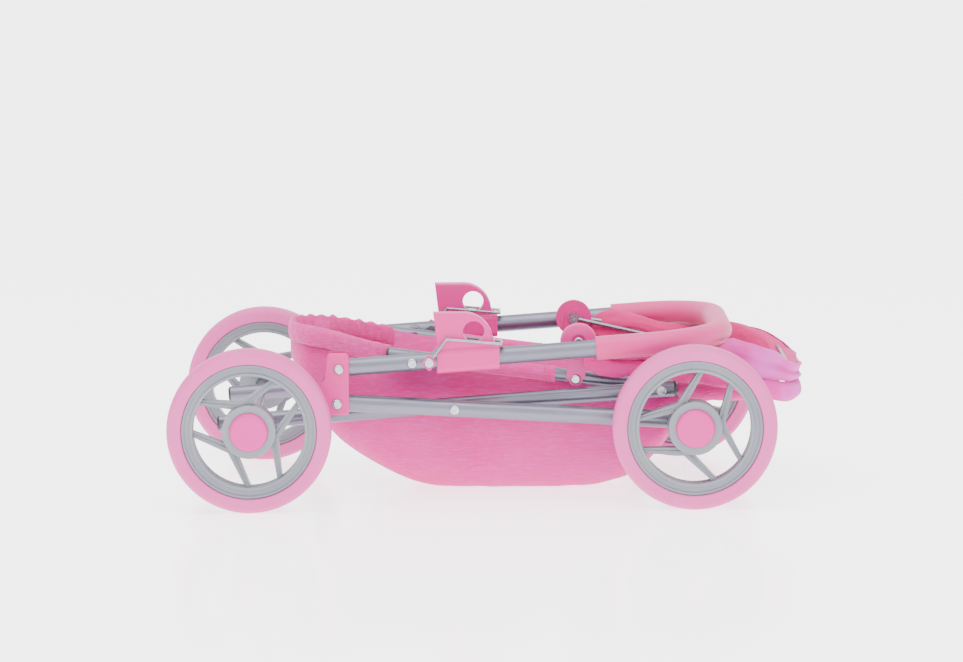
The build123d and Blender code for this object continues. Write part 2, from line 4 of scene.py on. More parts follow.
import bmesh
import bpy
from mathutils import Matrix, Vector, noise


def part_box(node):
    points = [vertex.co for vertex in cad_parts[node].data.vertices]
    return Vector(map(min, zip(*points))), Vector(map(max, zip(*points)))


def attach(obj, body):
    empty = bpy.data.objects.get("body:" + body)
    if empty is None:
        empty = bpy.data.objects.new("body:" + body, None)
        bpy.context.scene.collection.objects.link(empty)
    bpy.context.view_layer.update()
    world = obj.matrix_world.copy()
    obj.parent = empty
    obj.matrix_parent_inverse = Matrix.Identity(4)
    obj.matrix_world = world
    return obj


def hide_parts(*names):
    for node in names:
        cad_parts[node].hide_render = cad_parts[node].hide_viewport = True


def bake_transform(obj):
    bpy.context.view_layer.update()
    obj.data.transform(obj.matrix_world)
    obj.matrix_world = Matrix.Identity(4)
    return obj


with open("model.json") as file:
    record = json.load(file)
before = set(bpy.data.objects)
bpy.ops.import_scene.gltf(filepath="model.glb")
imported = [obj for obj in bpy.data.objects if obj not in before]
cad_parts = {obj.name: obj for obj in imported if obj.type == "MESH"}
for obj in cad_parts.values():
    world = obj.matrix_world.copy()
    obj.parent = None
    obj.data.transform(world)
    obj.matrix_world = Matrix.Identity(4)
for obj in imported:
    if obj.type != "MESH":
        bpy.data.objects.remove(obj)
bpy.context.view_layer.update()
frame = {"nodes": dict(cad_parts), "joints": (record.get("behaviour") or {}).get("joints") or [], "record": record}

nodes = frame["nodes"]

# Sides of the pram: the camera sees the near one
NEAR = -1.0
FAR = 1.0

# Sizes of the fabric, in metres
CLOTH_THICK = 0.0007
HOOD_CLOTH_THICK = 0.0006
WEAVE_PITCH = 0.0011

# Cloth sleeves on the rail, in metres: radii and ends along x
CASING_RADIUS = 0.0072
FRONT_CASING_RADIUS = 0.0073
SIDE_CASING_START = -0.046
SIDE_CASING_END = 0.062
FRONT_CASING_START = 0.176

# Stitches on the sleeves: radius of the ring, of the thread, stitches in a ring and rows along x
STITCH_RING_RADIUS = 0.0078
STITCH_THREAD_RADIUS = 0.00024
STITCH_COUNT = 18
STITCH_ROWS = (-0.0415, 0.0525, 0.0565)

# Centre line of the body rail, in metres: half width, front end, radius of its bends and handle end
RAIL_HALF = 0.078
RAIL_FRONT_X = 0.243
RAIL_BEND = 0.058
RAIL_HANDLE_END = Vector((-0.0696, 0.0, 0.131))

# World strength on the pram and as the camera sees it, and the floor's own light
STUDIO_LIGHT = 2.4
BACKGROUND_LIGHT = 9.0
FLOOR_GLOW = 2.2

# How far srgb() moves colours from grey and darkens them, because the render pales bright colours
RICHNESS = 1.65
SHADE = 0.60


def joint(name):
    """The frame's record of a joint."""
    return next(j for j in frame["joints"] if j["name"] == name)


BAG_LOW, BAG_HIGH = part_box("pram_bag")


# ---------------------------------------------------------------- helpers

def smooth(edge0, edge1, value):
    """0 at edge0 and 1 at edge1, level at both."""
    t = min(max((value - edge0) / (edge1 - edge0), 0.0), 1.0)
    return t * t * (3.0 - 2.0 * t)


def mix(a, b, t):
    return a + (b - a) * t


def curve_value(points, x):
    """Value on the straight runs between (x, value) points, level past both ends."""
    if x <= points[0][0]:
        return points[0][1]
    for (x0, v0), (x1, v1) in zip(points, points[1:]):
        if x <= x1:
            return mix(v0, v1, (x - x0) / (x1 - x0))
    return points[-1][1]


def wobble(point, scale, seed=0.0):
    """Repeatable noise, about -1 to 1."""
    return noise.noise(Vector(point) * scale + Vector((seed, seed * 1.7, -seed)))


def grid_mesh(name, columns, rows, position, close_columns=False):
    """Sheet of quads; position(u, v) gives a Vector, u along the columns and v along the rows."""
    mesh = bpy.data.meshes.new(name)
    obj = bpy.data.objects.new(name, mesh)
    bpy.context.scene.collection.objects.link(obj)
    bm = bmesh.new()
    count = columns if close_columns else columns + 1
    verts = []
    for i in range(count):
        verts.append([bm.verts.new(position(i / columns, j / rows)) for j in range(rows + 1)])
    for i in range(columns):
        nxt = (i + 1) % count
        for j in range(rows):
            bm.faces.new((verts[i][j], verts[nxt][j], verts[nxt][j + 1], verts[i][j + 1]))
    bmesh.ops.remove_doubles(bm, verts=bm.verts, dist=1e-6)
    bmesh.ops.recalc_face_normals(bm, faces=bm.faces)
    for face in bm.faces:
        face.smooth = True
    bm.to_mesh(mesh)
    bm.free()
    return obj


def apply_modifiers(obj):
    """Replace an object's mesh by what its modifiers make of it."""
    depsgraph = bpy.context.evaluated_depsgraph_get()
    mesh = bpy.data.meshes.new_from_object(obj.evaluated_get(depsgraph))
    obj.modifiers.clear()
    obj.data = mesh


def thicken(obj, thickness):
    """Give a sheet its thickness, half to each side."""
    solid = obj.modifiers.new("thickness", "SOLIDIFY")
    solid.thickness = thickness
    solid.offset = 0.0
    apply_modifiers(obj)


def tube_along(name, points, radius, sides):
    """Closed round tube through a list of points."""
    mesh = bpy.data.meshes.new(name)
    obj = bpy.data.objects.new(name, mesh)
    bpy.context.scene.collection.objects.link(obj)
    bm = bmesh.new()
    rings = []
    side = None
    for index, point in enumerate(points):
        before = points[max(index - 1, 0)]
        after = points[min(index + 1, len(points) - 1)]
        ahead = (after - before).normalized()
        if side is None:
            side = ahead.orthogonal().normalized()
        side = (side - ahead * side.dot(ahead)).normalized()
        up = ahead.cross(side)
        ring = []
        for k in range(sides):
            angle = 2 * math.pi * k / sides
            ring.append(bm.verts.new(point + (side * math.cos(angle) + up * math.sin(angle)) * radius))
        rings.append(ring)
    for low, high in zip(rings, rings[1:]):
        for k in range(sides):
            nxt = (k + 1) % sides
            bm.faces.new((low[k], low[nxt], high[nxt], high[k]))
    bm.faces.new(list(reversed(rings[0])))
    bm.faces.new(rings[-1])
    for face in bm.faces:
        face.smooth = True
    bm.to_mesh(mesh)
    bm.free()
    return obj


def join_meshes(name, objects):
    """One object from several, which are removed."""
    bm = bmesh.new()
    for obj in objects:
        bm.from_mesh(obj.data)
    mesh = bpy.data.meshes.new(name)
    bm.to_mesh(mesh)
    bm.free()
    for obj in objects:
        bpy.data.objects.remove(obj)
    joined = bpy.data.objects.new(name, mesh)
    bpy.context.scene.collection.objects.link(joined)
    return joined


# ---------------------------------------------------------------- materials

def srgb(red, green, blue):
    """Linear RGBA of a 0 to 255 colour, made richer and darker for the render's tone mapping."""
    def linear(c):
        c /= 255.0
        return c / 12.92 if c <= 0.04045 else ((c + 0.055) / 1.055) ** 2.4
    values = [linear(red), linear(green), linear(blue)]
    grey = 0.3 * values[0] + 0.5 * values[1] + 0.2 * values[2]
    rich = [min(max(grey + (v - grey) * RICHNESS, 0.004), 0.95) * SHADE for v in values]
    return (*rich, 1.0)


class Shader:
    """Small builder for a procedural material on object coordinates."""

    def __init__(self, name, roughness, metallic=0.0, **extra):
        self.mat = bpy.data.materials.new(name)
        self.mat.use_nodes = True
        self.tree = self.mat.node_tree
        self.bsdf = self.tree.nodes["Principled BSDF"]
        self.bsdf.inputs["Roughness"].default_value = roughness
        self.bsdf.inputs["Metallic"].default_value = metallic
        for socket, value in extra.items():
            self.bsdf.inputs[socket.replace("_", " ")].default_value = value
        self.coords = self.tree.nodes.new("ShaderNodeTexCoord").outputs["Object"]
        self.height = None

    def link(self, a, b):
        self.tree.links.new(a, b)

    def stretched(self, scale):
        mapping = self.tree.nodes.new("ShaderNodeMapping")
        mapping.inputs["Scale"].default_value = scale
        self.link(self.coords, mapping.inputs["Vector"])
        return mapping.outputs["Vector"]

    def noise(self, scale, detail=2.0, rough=0.5, stretch=(1.0, 1.0, 1.0)):
        node = self.tree.nodes.new("ShaderNodeTexNoise")
        node.inputs["Scale"].default_value = scale
        node.inputs["Detail"].default_value = detail
        node.inputs["Roughness"].default_value = rough
        self.link(self.stretched(stretch), node.inputs["Vector"])
        return node.outputs["Fac"]

    def wave(self, scale, direction, distortion=0.0, detail=1.0):
        node = self.tree.nodes.new("ShaderNodeTexWave")
        node.wave_type = "BANDS"
        node.bands_direction = direction
        node.inputs["Scale"].default_value = scale
        node.inputs["Distortion"].default_value = distortion
        node.inputs["Detail"].default_value = detail
        self.link(self.coords, node.inputs["Vector"])
        return node.outputs["Fac"]

    def math(self, operation, a, b):
        node = self.tree.nodes.new("ShaderNodeMath")
        node.operation = operation
        for socket, value in zip(node.inputs, (a, b)):
            if hasattr(value, "is_linked"):
                self.link(value, socket)
            else:
                socket.default_value = value
        return node.outputs[0]

    def ramp(self, factor, stops):
        node = self.tree.nodes.new("ShaderNodeValToRGB")
        elements = node.color_ramp.elements
        while len(elements) < len(stops):
            elements.new(0.5)
        for element, (place, colour) in zip(elements, stops):
            element.position = place
            element.color = colour
        self.link(factor, node.inputs["Fac"])
        return node.outputs["Color"]

    def blend_colours(self, factor, a, b):
        node = self.tree.nodes.new("ShaderNodeMix")
        node.data_type = "RGBA"
        self.link(factor, node.inputs["Factor"])
        for socket, value in ((node.inputs[6], a), (node.inputs[7], b)):
            if hasattr(value, "is_linked"):
                self.link(value, socket)
            else:
                socket.default_value = value
        return node.outputs[2]

    def colour(self, socket):
        self.link(socket, self.bsdf.inputs["Base Color"])

    def roughness(self, factor, low, high):
        node = self.tree.nodes.new("ShaderNodeMapRange")
        node.inputs["To Min"].default_value = low
        node.inputs["To Max"].default_value = high
        self.link(factor, node.inputs["Value"])
        self.link(node.outputs[0], self.bsdf.inputs["Roughness"])

    def bump(self, height, strength, distance):
        node = self.tree.nodes.new("ShaderNodeBump")
        node.inputs["Strength"].default_value = strength
        node.inputs["Distance"].default_value = distance
        self.link(height, node.inputs["Height"])
        if self.height is not None:
            self.link(self.height, node.inputs["Normal"])
        self.height = node.outputs["Normal"]
        self.link(self.height, self.bsdf.inputs["Normal"])


def moulded(name, base, dark, roughness, grain=900.0, **extra):
    """Moulded plastic: faint cloudy colour, fine spark-eroded grain."""
    s = Shader(name, roughness, **extra)
    cloud = s.noise(18.0, 3.0)
    s.colour(s.ramp(cloud, [(0.3, dark), (0.7, base)]))
    grit = s.noise(grain, 2.0)
    s.roughness(s.noise(60.0, 3.0), roughness - 0.06, roughness + 0.08)
    s.bump(grit, 0.12, 0.0002)
    return s.mat


def woven(name, base, light, dark, roughness=0.85, slub=1.0):
    """Plain weave with uneven thick threads running along the pram."""
    s = Shader(name, roughness, Sheen_Weight=0.10, Sheen_Roughness=0.5)
    threads = s.noise(60.0, 4.0, 0.65, (1.0, 6.0, 16.0))
    fine = s.noise(420.0, 2.0, 0.6, (0.35, 1.0, 3.2))
    cloud = s.noise(14.0, 3.0)
    both = s.math("ADD", s.math("MULTIPLY", threads, 0.55 * slub), s.math("MULTIPLY", fine, 0.45))
    tint = s.ramp(both, [(0.33, dark), (0.5, base), (0.70, light)])
    worn = s.ramp(cloud, [(0.35, (0, 0, 0, 1)), (0.8, (0.35, 0.35, 0.35, 1))])
    s.colour(s.blend_colours(worn, tint, light))
    s.roughness(threads, roughness - 0.08, roughness + 0.08)
    pitch = 1.0 / WEAVE_PITCH / 3.14
    across = s.wave(pitch, "X", 0.6)
    along = s.wave(pitch, "Z", 0.6)
    s.bump(s.math("ADD", across, along), 0.22, 0.00025)
    s.bump(threads, 0.25, 0.0006)
    return s.mat


mat_tyre = moulded("tyre_foam_rubber", srgb(255, 148, 190), srgb(250, 138, 182), 0.52, 1400.0)
mat_cap = moulded("hub_cap_plastic", srgb(255, 110, 172), srgb(252, 100, 165), 0.36)
mat_pink = moulded("pink_plastic", srgb(255, 96, 168), srgb(250, 84, 158), 0.38, 700.0)
mat_rim = moulded("rim_grey_plastic", srgb(152, 154, 160), srgb(140, 143, 150), 0.42, 800.0)
mat_black = moulded("black_plastic", srgb(40, 40, 44), srgb(28, 28, 32), 0.5)
mat_grey = moulded("grey_plastic", srgb(96, 98, 104), srgb(84, 86, 92), 0.48)


def foam_material():
    """Foam rubber with fine open cells."""
    s = Shader("foam_grip_foam", 0.5, Sheen_Weight=0.15, Sheen_Roughness=0.6)
    cloud = s.noise(12.0, 3.0)
    s.colour(s.ramp(cloud, [(0.3, srgb(240, 62, 148)), (0.7, srgb(248, 76, 158))]))
    cells = s.noise(1800.0, 2.0, 0.7)
    s.roughness(s.noise(40.0, 2.0), 0.42, 0.58)
    s.bump(cells, 0.25, 0.0003)
    s.bump(s.noise(45.0, 3.0), 0.15, 0.0008)
    return s.mat


def coated_tube():
    """Silver-grey powder coat with a faint flow along the tubes and small scuffs."""
    s = Shader("silver_powder_coat", 0.34, 0.75)
    streak = s.noise(26.0, 4.0, 0.6, (0.4, 2.0, 3.0))
    s.colour(s.ramp(streak, [(0.3, srgb(128, 127, 138)), (0.7, srgb(146, 145, 156))]))
    s.roughness(s.noise(90.0, 4.0, 0.7), 0.28, 0.42)
    s.bump(s.noise(1300.0, 2.0), 0.10, 0.0002)
    return s.mat


def bright_metal(name, light, dark, low, high):
    """Bare metal, its roughness between low and high."""
    s = Shader(name, low, 1.0)
    s.colour(s.ramp(s.noise(120.0, 4.0, 0.6), [(0.3, dark), (0.7, light)]))
    s.roughness(s.noise(300.0, 4.0, 0.7), low, high)
    s.bump(s.noise(700.0, 2.0), 0.05, 0.0001)
    return s.mat


mat_foam = foam_material()
mat_tube = coated_tube()
mat_zinc = bright_metal("bright_zinc", srgb(225, 226, 230), srgb(200, 201, 206), 0.12, 0.28)
mat_wire = bright_metal("drawn_steel_wire", srgb(190, 191, 196), srgb(160, 161, 168), 0.2, 0.36)
mat_fabric = woven("bag_fabric", srgb(246, 98, 164), srgb(255, 150, 196), srgb(228, 66, 138))
mat_elastic = woven("elastic_fabric", srgb(250, 124, 172), srgb(255, 156, 194), srgb(238, 100, 152))
mat_lining = woven("lining_fabric", srgb(226, 20, 146), srgb(238, 50, 160), srgb(208, 14, 130), 0.8, 0.5)


def printed_fabric():
    """Hood cloth: pink with soft lilac, white and yellow blots."""
    s = Shader("hood_print_fabric", 0.78, Sheen_Weight=0.08, Sheen_Roughness=0.5)
    patches = s.noise(16.0, 2.0, 0.45)
    pinks = [(0.38, srgb(250, 92, 160)), (0.5, srgb(250, 118, 182)), (0.62, srgb(242, 142, 206))]
    ground = s.ramp(patches, pinks)
    cells = s.tree.nodes.new("ShaderNodeTexVoronoi")
    cells.inputs["Scale"].default_value = 34.0
    s.link(s.coords, cells.inputs["Vector"])
    ring = s.ramp(cells.outputs["Distance"], [(0.14, (1, 1, 1, 1)), (0.22, (0, 0, 0, 1))])
    choose = s.math("GREATER_THAN", s.noise(30.0, 1.0), 0.56)
    place = s.tree.nodes.new("ShaderNodeSeparateXYZ")
    s.link(s.coords, place.inputs["Vector"])
    frontness = s.tree.nodes.new("ShaderNodeMapRange")
    frontness.inputs["From Min"].default_value = 0.205
    frontness.inputs["From Max"].default_value = 0.250
    s.link(place.outputs["X"], frontness.inputs["Value"])
    ground = s.blend_colours(frontness.outputs[0], srgb(250, 96, 164), ground)
    white = s.math("MULTIPLY", s.math("MULTIPLY", ring, choose), frontness.outputs[0])
    blots = s.blend_colours(white, ground, srgb(250, 226, 244))
    dots = s.ramp(cells.outputs["Distance"], [(0.05, (1, 1, 1, 1)), (0.08, (0, 0, 0, 1))])
    rare = s.math("GREATER_THAN", s.noise(11.0, 1.0), 0.54)
    yellow = s.math("MULTIPLY", s.math("MULTIPLY", dots, rare), frontness.outputs[0])
    s.colour(s.blend_colours(yellow, blots, srgb(252, 214, 120)))
    s.bump(s.math("ADD", s.wave(290.0, "X", 0.6), s.wave(290.0, "Z", 0.6)), 0.18, 0.0002)
    s.bump(s.noise(70.0, 4.0, 0.6, (1.0, 4.0, 8.0)), 0.2, 0.0005)
    return s.mat


mat_print = printed_fabric()


def stitch_material():
    """Pink thread with its twist as bump."""
    s = Shader("sewing_thread", 0.6, Sheen_Weight=0.4)
    s.colour(s.ramp(s.noise(500.0), [(0.3, srgb(240, 60, 130)), (0.7, srgb(252, 96, 156))]))
    s.bump(s.wave(1500.0, "DIAGONAL"), 0.4, 0.0001)
    return s.mat


mat_thread = stitch_material()


SLOT_MATERIAL = {
    "tyre_pink": mat_tyre,
    "rim_grey": mat_rim,
    "plastic_pink": mat_pink,
    "foam_pink": mat_foam,
    "fabric_pink": mat_fabric,
    "elastic_pink": mat_elastic,
    "plastic_black": mat_black,
    "plastic_grey": mat_grey,
    "zinc_steel": mat_zinc,
    "bright_steel": mat_wire,
    "tube_grey": mat_tube,
}
slot_of = {sub["node"]: sub["material_slot"] for sub in frame["record"]["subparts"]}


def dress_cad_nodes():
    """Give every CAD node the material of its slot, and the hub caps their own."""
    for name, obj in nodes.items():
        material = mat_cap if name.startswith("hub_cap") else SLOT_MATERIAL[slot_of[name]]
        if not obj.material_slots:
            obj.data.materials.append(material)
        for slot in obj.material_slots:
            slot.material = material


dress_cad_nodes()


def dress_piece(obj, material):
    """Material and smooth shading of a modelled piece."""
    obj.data.materials.clear()
    obj.data.materials.append(material)
    for face in obj.data.polygons:
        face.use_smooth = True


def finish_piece(obj, body, material):
    """Dress a piece that rides on one body."""
    dress_piece(obj, material)
    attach(obj, body)


# ---------------------------------------------------------------- camera, floor and light

def build_camera():
    """Long lens, low and square to the right side of the pram."""
    data = bpy.data.cameras.new("camera")
    data.sensor_width = 36.0
    data.lens = 158.8
    data.clip_end = 50.0
    cam = bpy.data.objects.new("camera", data)
    cam.location = (-0.019, -3.975, 0.658)
    pitch, yaw, roll = math.radians(7.36), math.radians(-0.195), math.radians(-0.45)
    turn = Matrix.Rotation(yaw, 4, "Z") @ Matrix.Rotation(math.pi / 2 - pitch, 4, "X")
    turn = turn @ Matrix.Rotation(roll, 4, "Z")
    cam.rotation_euler = turn.to_euler()
    bpy.context.scene.collection.objects.link(cam)
    bpy.context.scene.camera = cam


def build_stage():
    """Pale glossy floor, and a world that is brighter for camera rays than for the light on the pram."""
    floor = grid_mesh("floor", 2, 2, lambda u, v: Vector((mix(-14, 14, u), mix(-8, 20, v), 0.0)))
    shader = Shader("pale_glossy_floor", 0.16)
    tint = shader.noise(1.2, 2.0)
    shader.colour(shader.ramp(tint, [(0.2, (0.90, 0.90, 0.91, 1)), (0.8, (0.93, 0.93, 0.935, 1))]))
    shader.bsdf.inputs["Emission Color"].default_value = (1.0, 1.0, 1.0, 1.0)
    shader.bsdf.inputs["Emission Strength"].default_value = FLOOR_GLOW
    floor.data.materials.append(shader.mat)
    world = bpy.data.worlds.new("studio")
    world.use_nodes = True
    background = world.node_tree.nodes["Background"]
    background.inputs["Color"].default_value = (1.0, 1.0, 1.0, 1.0)
    paths = world.node_tree.nodes.new("ShaderNodeLightPath")
    strength = world.node_tree.nodes.new("ShaderNodeMapRange")
    strength.inputs["To Min"].default_value = STUDIO_LIGHT
    strength.inputs["To Max"].default_value = BACKGROUND_LIGHT
    world.node_tree.links.new(paths.outputs["Is Camera Ray"], strength.inputs["Value"])
    world.node_tree.links.new(strength.outputs[0], background.inputs["Strength"])
    bpy.context.scene.world = world


def area_light(name, place, target, size, power):
    """Soft white rectangular light, aimed from place at target."""
    data = bpy.data.lights.new(name, "AREA")
    data.shape = "RECTANGLE"
    data.size, data.size_y = size
    data.energy = power
    lamp = bpy.data.objects.new(name, data)
    lamp.location = place
    lamp.rotation_euler = (Vector(target) - Vector(place)).to_track_quat("-Z", "Y").to_euler()
    bpy.context.scene.collection.objects.link(lamp)


build_camera()
build_stage()
area_light("key_top", (-0.3, -0.6, 2.2), (0, 0, 0.1), (2.4, 1.6), 52.0)
area_light("fill_front", (0.8, -2.6, 1.2), (0, 0, 0.1), (2.2, 1.2), 14.0)


# ---------------------------------------------------------------- fabric bag

def rail_height(x):
    """Height of the body rail's centre line, from its two ends."""
    pivot = Vector(joint("rail_fold")["pos_m"])
    end = RAIL_HANDLE_END
    return end.z + (pivot.z - end.z) * (x - end.x) / (pivot.x - end.x)


# The bag along x, in metres: height of its rim, height of its lowest line, and half its width
RIM_LINE = [(-0.184, 0.1545), (-0.150, 0.151), (-0.092, 0.1385), (-0.069, 0.1330), (0.234, 0.0930)]
BOTTOM_LINE = [
    (-0.184, 0.1350), (-0.177, 0.1120), (-0.162, 0.0820), (-0.146, 0.0545), (-0.114, 0.0315),
    (-0.079, 0.0125), (-0.055, 0.0052), (-0.020, 0.0034), (0.080, 0.0034), (0.108, 0.0058),
    (0.132, 0.0130), (0.152, 0.0290), (0.172, 0.0540), (0.184, 0.0810), (0.210, 0.0845),
    (0.234, 0.0875),
]
HALF_LINE = [
    (-0.184, 0.030), (-0.180, 0.043), (-0.170, 0.057), (-0.150, 0.0660), (-0.120, 0.0680),
    (0.182, 0.0680), (0.206, 0.0600), (0.224, 0.0440), (0.234, 0.0180),
]


def soft_curve(points, x, reach=0.010):
    """curve_value averaged over a short reach, which rounds its corners."""
    steps = (-1.0, -0.5, 0.0, 0.5, 1.0)
    return sum(curve_value(points, x + reach * s) for s in steps) / len(steps)


def bag_point(u, v):
    """u runs from the foot to the front, v from the right rim under the bag to the left rim."""
    x = mix(BAG_LOW.x + 0.004, BAG_HIGH.x, u)
    rim = soft_curve(RIM_LINE, x)
    bottom = soft_curve(BOTTOM_LINE, x)
    half = soft_curve(HALF_LINE, x, 0.004)
    angle = math.pi * v
    across = math.cos(angle)
    drop = math.sin(angle)
    y = -half * math.copysign(abs(across) ** 0.22, across)
    z = rim - (rim - bottom + 0.0015) * abs(drop) ** 0.28
    y *= 1.0 - 0.16 * smooth(0.25, 1.0, abs(drop))
    deep = (rim - bottom) / 0.13
    side = math.copysign(1.0, y)
    fold = wobble((x * 22.0, z * 7.0, side * 3.0), 1.0) * 0.0030
    fold += wobble((x * 9.0, z * 26.0, side), 1.0) * 0.0020
    hang = math.sin(x * 120.0 + side) * 0.0008 * smooth(0.0, 0.5, abs(drop))
    y -= side * (abs(fold) + abs(hang)) * smooth(0.03, 0.35, abs(drop)) * deep
    lift = max(0.0, wobble((x * 30.0, y * 24.0, 2.0), 1.0)) * 0.0030 * smooth(0.6, 1.0, abs(drop))
    return Vector((x, y, z + lift))


def build_bag():
    """The hanging bag, as one thin shell."""
    bag = grid_mesh("bag_shell", 150, 72, bag_point)
    thicken(bag, CLOTH_THICK)
    finish_piece(bag, "pram_body", mat_fabric)
    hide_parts("pram_bag")


def build_foot_band():
    """Gathered elastic band round the bag's foot end."""
    start_x = -0.090

    def path(u):
        """Plan of the rim, from the right side round the foot to the left side."""
        half = 0.0685
        back = -0.1835
        radius = 0.036
        straight = abs(start_x - (back + radius))
        quarter = math.pi * radius / 2
        end_run = 2 * (half - radius)
        total = 2 * straight + 2 * quarter + end_run
        d = u * total
        if d < straight:
            return Vector((start_x - d, -half, 0)), Vector((0, -1, 0))
        d -= straight
        if d < quarter:
            a = d / radius
            n = Vector((-math.sin(a), -math.cos(a), 0))
            return Vector((back + radius, -half + radius, 0)) + n * radius, n
        d -= quarter
        if d < end_run:
            return Vector((back, -half + radius + d, 0)), Vector((-1, 0, 0))
        d -= end_run
        if d < quarter:
            a = d / radius
            n = Vector((-math.cos(a), math.sin(a), 0))
            return Vector((back + radius, half - radius, 0)) + n * radius, n
        d -= quarter
        return Vector((back + radius + d, half, 0)), Vector((0, 1, 0))

    def band(u, v):
        """u runs along the path, v round the band's closed section."""
        place, outward = path(u)
        top = soft_curve(RIM_LINE, place.x) + 0.0030
        side_lift = 0.0040 if place.y < 0 else -0.0020
        top += side_lift * smooth(-0.10, -0.17, place.x)
        height = 0.019
        gather = math.sin(u * 150.0 + 3.0 * wobble((u * 9.0, 0, 0), 1.0))
        loose = mix(0.18, 2.3, smooth(0.42, 0.62, u))
        deep = (0.5 + 0.6 * wobble((u * 23.0, 1.0, 0), 1.0)) * loose
        around = v * 2.0 * math.pi
        puff = 0.0030 + 0.0011 * gather * deep
        out = math.cos(around) * puff
        up = math.sin(around)
        z = top - height / 2 + up * (height / 2 + 0.0008 * gather * deep)
        out += 0.0009 * wobble((u * 60.0, v * 6.0, 4.0), 1.0)
        return place + outward * (out - 0.0005) + Vector((0, 0, z))

    obj = grid_mesh("foot_band", 260, 22, band)
    finish_piece(obj, "pram_body", mat_elastic)
    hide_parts("foot_elastic")


def casing_point(start_x, end_x, side):
    """Surface of the cloth sleeve on one straight side of the rail."""
    def at(u, v):
        x = mix(start_x, end_x, u)
        angle = 2 * math.pi * v
        pucker = 0.00035 * wobble((x * 90.0, math.cos(angle) * 2, math.sin(angle) * 2), 1.0, 3.0)
        r = CASING_RADIUS + pucker + 0.0004 * smooth(0.93, 1.0, u) + 0.0004 * smooth(0.07, 0.0, u)
        y = side * RAIL_HALF + r * math.cos(angle)
        return Vector((x, y, rail_height(x) + r * math.sin(angle)))
    return at


def front_casing_point(u, v):
    """Surface of the sleeve round the front of the rail; u runs from its right to its left end."""
    half, end_x, bend = RAIL_HALF, RAIL_FRONT_X, RAIL_BEND
    start_x = FRONT_CASING_START
    straight = end_x - bend - start_x
    quarter = math.pi * bend / 2
    run = 2 * (half - bend)
    total = 2 * straight + 2 * quarter + run
    d = u * total
    if d < straight:
        place, out = Vector((start_x + d, -half)), Vector((0, -1))
    elif d < straight + quarter:
        a = (d - straight) / bend
        out = Vector((math.sin(a), -math.cos(a)))
        place = Vector((end_x - bend, -half + bend)) + out * bend
    elif d < straight + quarter + run:
        out = Vector((1, 0))
        place = Vector((end_x, -half + bend + d - straight - quarter))
    elif d < straight + 2 * quarter + run:
        a = (d - straight - quarter - run) / bend
        out = Vector((math.cos(a), math.sin(a)))
        place = Vector((end_x - bend, half - bend)) + out * bend
    else:
        out = Vector((0, 1))
        place = Vector((end_x - bend - (d - straight - 2 * quarter - run), half))
    angle = 2 * math.pi * v
    pucker = 0.0004 * wobble((u * 40.0, math.cos(angle) * 2, math.sin(angle) * 2), 1.0, 5.0)
    r = FRONT_CASING_RADIUS + pucker
    flat = place + out * (r * math.cos(angle))
    return Vector((flat.x, flat.y, rail_height(flat.x) + r * math.sin(angle)))


def build_casings():
    """Cloth sleeves on both sides and round the front of the rail."""
    pieces = []
    for side in (NEAR, FAR):
        sleeve = casing_point(SIDE_CASING_START, SIDE_CASING_END, side)
        pieces.append(grid_mesh("casing_part", 50, 20, sleeve))
    pieces.append(grid_mesh("casing_part", 120, 20, front_casing_point))
    obj = join_meshes("rail_casing_cloth", pieces)
    finish_piece(obj, "pram_body", mat_fabric)
    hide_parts("rail_casings")


def stitch_ring(x, side):
    """Stitches round a casing, each a short thread lying on the cloth."""
    stitches = []
    for index in range(STITCH_COUNT):
        points = []
        for step in (-0.32, -0.16, 0.0, 0.16, 0.32):
            angle = 2 * math.pi * (index + step) / STITCH_COUNT
            r = STITCH_RING_RADIUS - 0.0001 * abs(step) * 6
            y = side * RAIL_HALF + r * math.cos(angle)
            points.append(Vector((x, y, rail_height(x) + r * math.sin(angle))))
        stitches.append(tube_along("stitch", points, STITCH_THREAD_RADIUS, 6))
    return stitches


def build_stitches():
    """Rings of stitches near the ends of the side casings: one at the foot, two towards the front."""
    threads = []
    for side in (NEAR, FAR):
        for x in STITCH_ROWS:
            threads += stitch_ring(x, side)
    obj = join_meshes("casing_stitches", threads)
    finish_piece(obj, "pram_body", mat_thread)


build_bag()
build_foot_band()
build_casings()
build_stitches()


# ---------------------------------------------------------------- folded hood

# Slope of the folded hood, and the U that it makes in plan, in metres
HOOD_START_X = 0.088
HOOD_FRONT_X = 0.2915
HOOD_HALF = 0.0945
HOOD_BEND = 0.060

# Height of the rolled rim, of the seam on the middle bow and of the lower hem, along the hood
RIM_HEIGHT_RIGHT = [
    (0.088, 0.1300), (0.100, 0.1400), (0.110, 0.1450), (0.140, 0.1420), (0.165, 0.1385),
    (0.190, 0.1362), (0.212, 0.1368), (0.223, 0.1480), (0.245, 0.1395), (0.269, 0.1320),
    (0.279, 0.1230), (0.293, 0.1165),
]
RIM_HEIGHT_LEFT = [
    (0.088, 0.1300), (0.100, 0.1430), (0.110, 0.1500), (0.120, 0.1520), (0.140, 0.1485),
    (0.165, 0.1400), (0.190, 0.1362), (0.215, 0.1362), (0.233, 0.1390), (0.262, 0.1330),
    (0.282, 0.1255), (0.293, 0.1165),
]
SEAM_HEIGHT = [
    (0.088, 0.1270), (0.105, 0.1300), (0.140, 0.1290), (0.190, 0.1210), (0.230, 0.1140),
    (0.262, 0.1080), (0.293, 0.1010),
]
# The hem is raised from x 0.146 to 0.174, so that it clears the rear legs when the pram is open
HEM_HEIGHT = [
    (0.088, 0.1235), (0.100, 0.1150), (0.118, 0.1110), (0.136, 0.1140), (0.146, 0.1200),
    (0.174, 0.1200), (0.186, 0.1130), (0.200, 0.1050), (0.230, 0.0985), (0.262, 0.0900),
    (0.280, 0.0850), (0.293, 0.0880),
]

